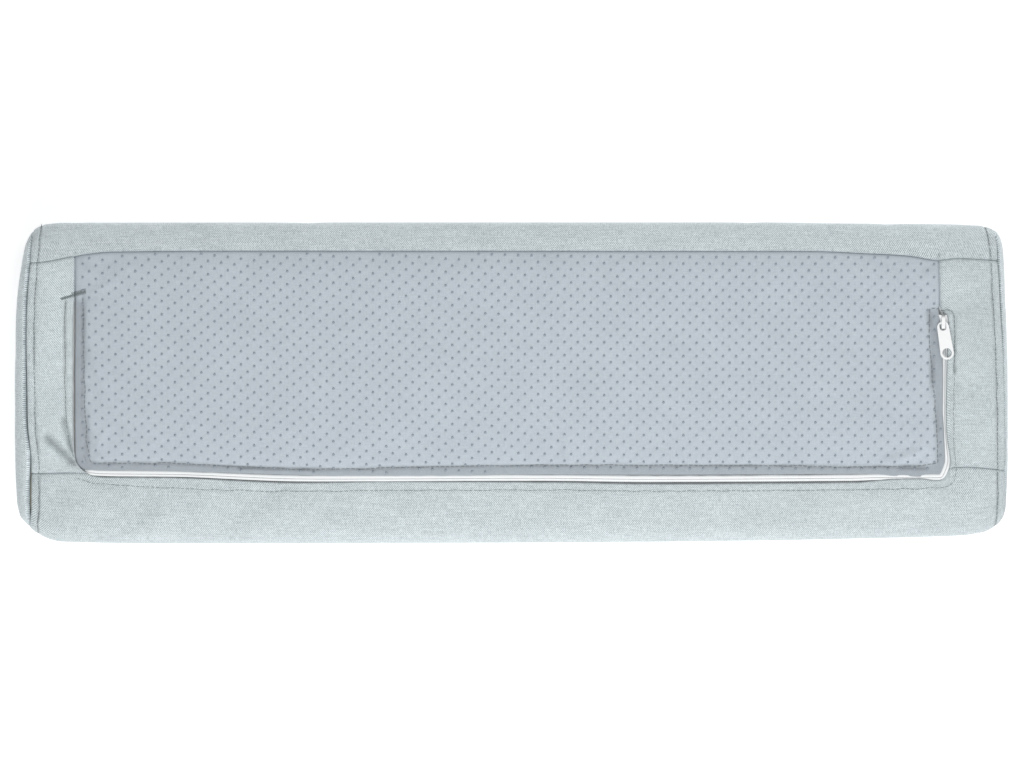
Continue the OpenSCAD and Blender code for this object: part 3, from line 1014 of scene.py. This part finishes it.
def build_foam():
    """The foam core: the pad's form a little smaller, with a dip under the zip."""
    grid, flip = closed_form(5.2, 3.0)
    zip_tree = tree_of(np.column_stack([zip_line, 0 * zip_line[:, 0]]))
    points = grid.reshape(-1, 3)
    for point in points:
        if point[2] > TOP_ONLY:
            near = zip_tree.find((point[0], point[1], 0))[2]
            point[2] = mix(GROOVE_FLOOR, point[2], float(smooth((near - GROOVE_HALF) / 3)))
    obj = mesh_object("foam", points, grid_faces(*grid.shape[:2], flip), foam_cream)
    join_doubles(obj.data)
    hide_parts("foam_core")
    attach(obj, "cover")
    return obj


foam = build_foam()


# ---- zip: two tapes and two coils that follow its line ----

def side_of(line, inner):
    """The direction across the zip at each point of its line, towards the flap or the cover."""
    travel = unit(np.gradient(line, axis=0))
    across = np.stack([-travel[:, 1], travel[:, 0]], 1)
    return across if inner else -across


LEFT_LEG_DEEPER = 1.5    # how much lower the tape lies on the left leg


def crest_height(line):
    """The tapes stand up in the slot along the front, and lie low on the legs, where the slider runs."""
    left_leg = line[:, 0] < -200
    front = np.where(left_leg, smooth((line[:, 0] + 259) / 5), smooth((-46 - line[:, 1]) / 7))
    past_end = smooth((line[:, 1] - ZIP_END_RIGHT + 5) / 4) * (line[:, 0] > 200)
    return mix(TAPE_Z + 0.1 - LEFT_LEG_DEEPER * left_leg - 1.8 * past_end, TAPE_Z + 1.3, front)


# Across one tape, from its sewn edge to its fold on the middle line: (distance out, height)
TAPE_FOLD = [(0.09, 0.0), (0.05, -0.02), (0.025, -0.08), (0.012, -0.25), (0.006, -0.5), (0.012, -1.0),
             (0.03, -1.35)]
INNER_SECTION = [(1.0, -2.4), (0.92, -2.4), (0.6, -2.35), (0.42, -2.2), (0.32, -1.8), (0.245, -1.0),
                 (0.2, -0.4), (0.15, -0.08)] + TAPE_FOLD
OUTER_SECTION = [(1.0, -1.25), (0.92, -1.25), (0.6, -1.25), (0.42, -1.3), (0.28, -1.4), (0.18, -1.5),
                 (0.145, -1.35), (0.13, -0.6), (0.115, -0.12)] + TAPE_FOLD


def build_tape(name, inner, width):
    """One side of the zip's tape, drawn across its section and along the zip's line."""
    crest = crest_height(zip_line)
    across = side_of(zip_line, inner)
    rows = []
    for out, height in INNER_SECTION if inner else OUTER_SECTION:
        rows.append(np.column_stack([zip_line + across * (out * width), crest + height]))
    grid = np.array(rows)
    u, v = lengths(grid, 1)[len(rows) // 2], lengths(grid, 0)[:, 0]
    flat = np.stack(np.meshgrid(u, v), -1).reshape(-1, 2)
    flip = grid_normals(grid)[1]
    obj = mesh_object(name, grid.reshape(-1, 3), grid_faces(*grid.shape[:2], flip), tape_cloth, flat)
    solid = obj.modifiers.new("thickness", "SOLIDIFY")
    solid.thickness, solid.offset = 0.3 * M, -1
    painted_shading = np.ones(grid.shape[:2])
    if not inner:
        painted_shading[3:7] = 0.42                                 # painted shadow on the dip beside the cover's folded edge
    store_tone(obj, painted_shading.ravel())
    return obj


def tube(centres, radius, sides):
    """Points and faces of a tube round a line of centres."""
    travel = unit(np.gradient(centres, axis=0))
    first = unit(np.cross(travel, np.array([0.13, 0.21, 0.97])))
    second = np.cross(travel, first)
    angles = np.linspace(0, 2 * math.pi, sides, endpoint=False)
    rings = [centres + radius * (first * math.cos(a) + second * math.sin(a)) for a in angles]
    grid = np.array(rings + rings[:1])
    return grid.reshape(-1, 3), grid_faces(*grid.shape[:2])


COIL_PITCH, COIL_R = 1.25, 0.62   # of a size 3 zip


def build_coil(name, inner):
    at = lengths(zip_line, 0)
    places = np.arange(0, at[-1], COIL_PITCH / 9)
    middle = read_along(at, zip_line, places)
    crest = np.interp(places, at, crest_height(zip_line))
    across = read_along(at, side_of(zip_line, inner), places)
    turn = places / COIL_PITCH * 2 * math.pi + (math.pi if inner else 0)
    flat = middle + across * (1.15 + 1.0 * np.cos(turn))[:, None]
    centres = np.column_stack([flat, crest - 1.75 + COIL_R * np.sin(turn) * 0.8])
    points, faces = tube(centres, 0.24, 5)
    return mesh_object(name, points, faces, coil_nylon)


outer_tape = build_tape("outer_tape_cloth", False, 12)
inner_tape = build_tape("inner_tape_cloth", True, 9)
as_sheet(outer_tape, "cover", "zip_tape", "outer_zip_tape")
as_sheet(inner_tape, None, "zip_tape", "inner_zip_tape")
outer_coil = build_coil("outer_coil_wire", False)
inner_coil = build_coil("inner_coil_wire", True)
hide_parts("outer_zip_coil")
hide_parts("inner_zip_coil")
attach(outer_coil, "cover")
for piece in (inner_tape, inner_coil):
    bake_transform(piece)


# ---- stitches and dots, laid on the panels' surfaces ----

def surface_tree():
    points, faces, start = [], [], 0
    for some_points, some_faces in surfaces:
        points.append(some_points)
        faces += [tuple(i + start for i in f) for f in some_faces]
        start += len(some_points)
    return BVHTree.FromPolygons(np.concatenate(points).tolist(), faces)


surface = surface_tree()


def laid(points):
    """Each point moved along the way out of the pad onto the cloth, and the cloth's direction there."""
    places, normals = [], []
    for point, out in zip(points, outward(points)):
        if point[2] > TOP_ONLY:
            out = np.array([0.0, 0.0, 1.0])
        hit, normal, _, _ = surface.ray_cast(Vector(point + out * 8), Vector(-out), 16)
        places.append(point if hit is None else hit)
        normals.append(out if hit is None else (normal if Vector(out).dot(normal) > 0 else -normal))
    return np.array(places, float), np.array(normals, float)


def repeated(template, faces, places, x_axis, z_axis):
    """Copies of one small shape: points and faces, each copy set at a place with its own axes."""
    y_axis = unit(np.cross(z_axis, x_axis))
    template = np.asarray(template, float)
    frame3 = np.stack([x_axis, y_axis, z_axis], 1)
    points = places[:, None] + np.einsum("tk,nkc->ntc", template, frame3)
    count = len(template)
    all_faces = [tuple(i + n * count for i in f) for n in range(len(places)) for f in faces]
    return points.reshape(-1, 3), all_faces


def rings_of(radii, sides):
    """A closed shape along X from (x, radius, lift) rings: its points and faces."""
    angles = np.linspace(0, 2 * math.pi, sides, endpoint=False)
    points = [(x, r * math.cos(a), lift + r * math.sin(a)) for x, r, lift in radii for a in angles]
    faces = [
        (k * sides + i, k * sides + (i + 1) % sides, (k + 1) * sides + (i + 1) % sides, (k + 1) * sides + i)
        for k in range(len(radii) - 1) for i in range(sides)
    ]
    last = (len(radii) - 1) * sides
    return points, faces + [tuple(range(sides))[::-1], tuple(range(last, last + sides))]


STITCH_PITCH, STITCH_LENGTH, STITCH_R = 3.0, 2.85, 0.23
WANDER = 0.22            # how far a row of stitches strays from its line


def stitch_shape(length, radius):
    """One stitch: a short thread that dips into the cloth at both ends."""
    half = length / 2
    start = [(-half, radius * 0.35, -0.32), (-half * 0.85, radius * 0.8, -0.1), (-half * 0.45, radius, 0.1)]
    stop = [(-x, r, lift) for x, r, lift in start[::-1]]
    return rings_of(start + stop, 7)


def sewn_rows(name, rows, length=STITCH_LENGTH, pitch=STITCH_PITCH, radius=STITCH_R, nodes=()):
    """Separate stitches along each row of points."""
    places, directions = [], []
    for row in rows:
        if len(row) > 2:
            x, y = row[:, 0], row[:, 1]
            row = row + WANDER * np.column_stack([crumple(y, 3 * x), crumple(x, 9 + y), 0 * x])
        at = lengths(row, 0)
        middles = np.arange(pitch / 2, at[-1], pitch)
        for offset, store in ((0, places), (0.4, directions)):
            store.append(read_along(at, row, middles + offset))
    places, ahead = np.concatenate(places), np.concatenate(directions)
    direction = unit(ahead - places + 1e-6)
    on_cloth, normal = laid(places)
    direction = unit(direction - normal * np.sum(direction * normal, 1, keepdims=True))
    shape, faces = stitch_shape(length, radius)
    points, faces = repeated(shape, faces, on_cloth, direction, normal)
    obj = mesh_object(name, points, faces, thread_grey)
    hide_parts(*nodes)
    return obj


def bar_tack():
    """Close threads side by side across the end of the zip."""
    low, high = box_mm("left_bar_tack")
    a, b = np.array([low[0] + 0.2, low[1] - 1.5]), np.array([high[0] - 0.2, high[1] - 2.5])
    middles = np.linspace(a, b, 30)
    along_tack = unit(b - a)
    across = np.array([-along_tack[1], along_tack[0]])
    rows = []
    for i, middle in enumerate(middles):
        lean = along_tack * (0.25 if i % 2 else -0.25)
        half = across * mix(0.45, 1.2, smooth(i / 20))
        ends = [middle - half - lean, middle + half + lean]
        rows.append(np.column_stack([ends, upper_face(*np.array(ends).T)]))
    return rows


cover_stitches = sewn_rows("cover_stitches", lines["cover"] + lines["back_left"],
                           nodes=("right_box_stitch",))
front_stitches = sewn_rows("front_stitches", lines["cover_front"], radius=0.15, nodes=("outer_topstitch",))
left_stitches = sewn_rows("left_end_stitches", lines["left_end"], nodes=("left_end_topstitch",))
right_stitches = sewn_rows("right_end_stitches", lines["right_end"], nodes=("right_end_topstitch",))
tack = sewn_rows("bar_tack_threads", bar_tack(), length=2.2, pitch=1.3, radius=0.3, nodes=("left_bar_tack",))
flap_stitches = sewn_rows("flap_stitches", lines["flap"], nodes=("flap_topstitch",))
for piece in (cover_stitches, front_stitches, left_stitches, right_stitches, tack):
    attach(piece, "cover")
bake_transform(flap_stitches)

DOT_PITCH, DOT_ROW, DOT_R = 7.96, 3.98, 0.78   # along a row, from row to row, and a dot's radius


def dot_places():
    """The printed lattice: staggered rows that sag towards the left end of the panel."""
    places = []
    for row in range(-40, 50):
        for column in range(-60, 60):
            x = (column + 0.5 * (row % 2)) * DOT_PITCH
            y = row * DOT_ROW + 6.3 * math.log(1 + math.exp(-(x + 60) / 45))
            inside = (float(flap_edge_left(y)) + 1.8 < x < float(flap_edge_right(y)) - 1.8
                      and float(flap_edge_front(x)) + 1.7 < y < float(back_seam(x)) - 1.6)
            if inside:
                places.append((x, y, float(upper_face(x, y))))
    return np.array(places)


def build_dots():
    """A small rubber dome at every place of the lattice."""
    angles = np.linspace(0, 2 * math.pi, 9, endpoint=False)
    rings = [(DOT_R, -0.1), (DOT_R * 0.92, 0.28), (DOT_R * 0.68, 0.6), (DOT_R * 0.36, 0.78)]
    shape = [(r * math.cos(a), r * math.sin(a), z) for r, z in rings for a in angles] + [(0, 0, 0.84)]
    n = len(angles)
    faces = [(k * n + i, k * n + (i + 1) % n, (k + 1) * n + (i + 1) % n, (k + 1) * n + i)
             for k in range(len(rings) - 1) for i in range(n)]
    last, top = (len(rings) - 1) * n, len(rings) * n
    faces += [(last + i, last + (i + 1) % n, top) for i in range(n)]
    places, normal = laid(dot_places())
    east = unit(np.cross(np.array([0, 1.0, 0]), normal))
    points, faces = repeated(shape, faces, places, east, normal)
    obj = mesh_object("grip_dots", points, faces, dot_rubber)
    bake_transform(obj)
    return obj


dots = build_dots()


# ---- slider and pull ----

def plate(name, outer, holes, thickness, bevel, material):
    """A flat plate with rounded edges, from an outline and holes of (x, y) points. Its middle is at z 0."""
    curve = bpy.data.curves.new(name, "CURVE")
    curve.dimensions = "2D"
    curve.fill_mode = "BOTH"
    curve.extrude = (thickness / 2 - bevel) * M
    curve.bevel_depth = bevel * M
    curve.bevel_resolution = 3
    curve.offset = -bevel * M
    for outline in [outer, *holes]:
        spline = curve.splines.new("POLY")
        spline.points.add(len(outline) - 1)
        for point, (x, y) in zip(spline.points, outline):
            point.co = (x * M, y * M, 0, 1)
        spline.use_cyclic_u = True
    holder = add_object(name + "_outline", curve)
    mesh = bpy.data.meshes.new_from_object(holder.evaluated_get(bpy.context.evaluated_depsgraph_get()))
    bpy.data.objects.remove(holder)
    mesh.materials.clear()
    mesh.materials.append(material)
    mesh.polygons.foreach_set("use_smooth", [True] * len(mesh.polygons))
    return add_object(name, mesh)


def arc(cx, cy, r, start, stop, count):
    angles = np.radians(np.linspace(start, stop, count))
    return [(cx + r * math.cos(a), cy + r * math.sin(a)) for a in angles]


def build_pull():
    """A flat tab with a ring at the slider's end and a round hole at its free end."""
    hole = next(m for m in frame["record"]["mounts"] if m["name"] == "pull_hole")
    joint = next(j for j in frame["joints"] if j["name"] == "pull_swing")
    hole_at = np.array(hole["pos_m"][:2]) / M
    ring_at_y = 2.8
    start = np.array([joint["pos_m"][0] / M - 0.6, joint["pos_m"][1] / M])
    lean = math.atan2(hole_at[0] - start[0], start[1] - hole_at[1])
    reach = math.hypot(*(hole_at - start))
    ring_r, end_r = 3.6, 4.1
    outer = (arc(0, -ring_at_y, ring_r, 4, 176, 24) + arc(0, -reach, end_r, 184, 356, 30))
    upper_hole = arc(0, -ring_at_y, 2.0, 180, 360, 20) + [(1.9, -0.8), (-1.9, -0.8)]
    lower_hole = arc(0, -reach, hole["dims"]["r_mm"], 0, 350, 36)
    obj = plate("pull_tab_enamel", outer, [upper_hole, lower_hole], PULL_HIGH[2] - PULL_LOW[2], 0.26, enamel)
    obj.rotation_euler = (0, 0, lean)
    obj.location = (start[0] * M, start[1] * M, (PULL_LOW[2] + PULL_HIGH[2]) / 2 * M)
    return obj


def build_cap():
    """The arch on the slider that holds the pull."""
    half, top, strip = (CAP_HIGH[1] - CAP_LOW[1]) / 2, CAP_HIGH[2], 0.7
    low = CAP_LOW[2]
    outer = ([(-half, low), (half, low)] + arc(half - 1.4, top - 1.4, 1.4, 0, 90, 8)
             + arc(1.4 - half, top - 1.4, 1.4, 90, 180, 8))
    hole = ([(strip - half, low + 0.5), (half - strip, low + 0.5)]
            + arc(half - strip - 0.8, top - strip - 0.8, 0.8, 0, 90, 6)
            + arc(strip + 0.8 - half, top - strip - 0.8, 0.8, 90, 180, 6))
    obj = plate("slider_cap_enamel", outer, [hole], CAP_HIGH[0] - CAP_LOW[0], 0.24, enamel)
    obj.rotation_euler = (math.radians(90), 0, math.radians(90))
    obj.location = ((CAP_LOW[0] + CAP_HIGH[0]) / 2 * M, (CAP_LOW[1] + CAP_HIGH[1]) / 2 * M, 0)
    return obj


pull = build_pull()
cap = build_cap()
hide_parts("pull_tab")
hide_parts("slider_cap")
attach(pull, "pull")
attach(cap, "slider")
body_mesh = frame["nodes"]["slider_body"]
for material_slot in body_mesh.material_slots:
    material_slot.material = enamel


# ---- floor, light and camera ----

FLOOR_HALF, FLOOR_Z = 4000, -0.6


def build_stage():
    """A white floor under an even white light from all round."""
    white, tree, shader = new_material("white_floor", 0.9)
    shader.inputs["Base Color"].default_value = (0.8, 0.8, 0.8, 1)
    shader.inputs["Emission Color"].default_value = (1, 1, 1, 1)
    shader.inputs["Emission Strength"].default_value = 0.5
    corners = [(x * FLOOR_HALF, y * FLOOR_HALF, FLOOR_Z) for x, y in ((-1, -1), (1, -1), (1, 1), (-1, 1))]
    floor = mesh_object("floor", corners, [(0, 1, 2, 3)], white)
    world = bpy.data.worlds.new("studio")
    world.use_nodes = True
    world.node_tree.nodes["Background"].inputs["Color"].default_value = (1, 1, 1, 1)
    world.node_tree.nodes["Background"].inputs["Strength"].default_value = 0.56
    bpy.context.scene.world = world


def area_light(name, place, size, power):
    data = bpy.data.lights.new(name, "AREA")
    data.size = size
    data.energy = power
    light = add_object(name, data)
    light.location = place
    light.rotation_euler = (-Vector(place)).to_track_quat("-Z", "Y").to_euler()


SEEN_WIDTH = 0.6175       # metres across the picture, at the upper face
CAMERA_X, CAMERA_Y, CAMERA_HEIGHT = 0.00015, -0.0006, 5.5


def build_camera():
    data = bpy.data.cameras.new("camera")
    data.sensor_width = 36
    data.lens = 36 * (CAMERA_HEIGHT - TOP * M) / SEEN_WIDTH
    data.clip_end = 50
    camera = add_object("camera", data)
    camera.location = (CAMERA_X, CAMERA_Y, CAMERA_HEIGHT)
    bpy.context.scene.camera = camera


build_stage()
area_light("front_light", (0.04, -0.72, 0.88), 0.7, 8.0)
area_light("back_light", (1.1, 1.1, 0.75), 0.9, 6.0)
build_camera()
bpy.context.scene.view_settings.view_transform = "Standard"
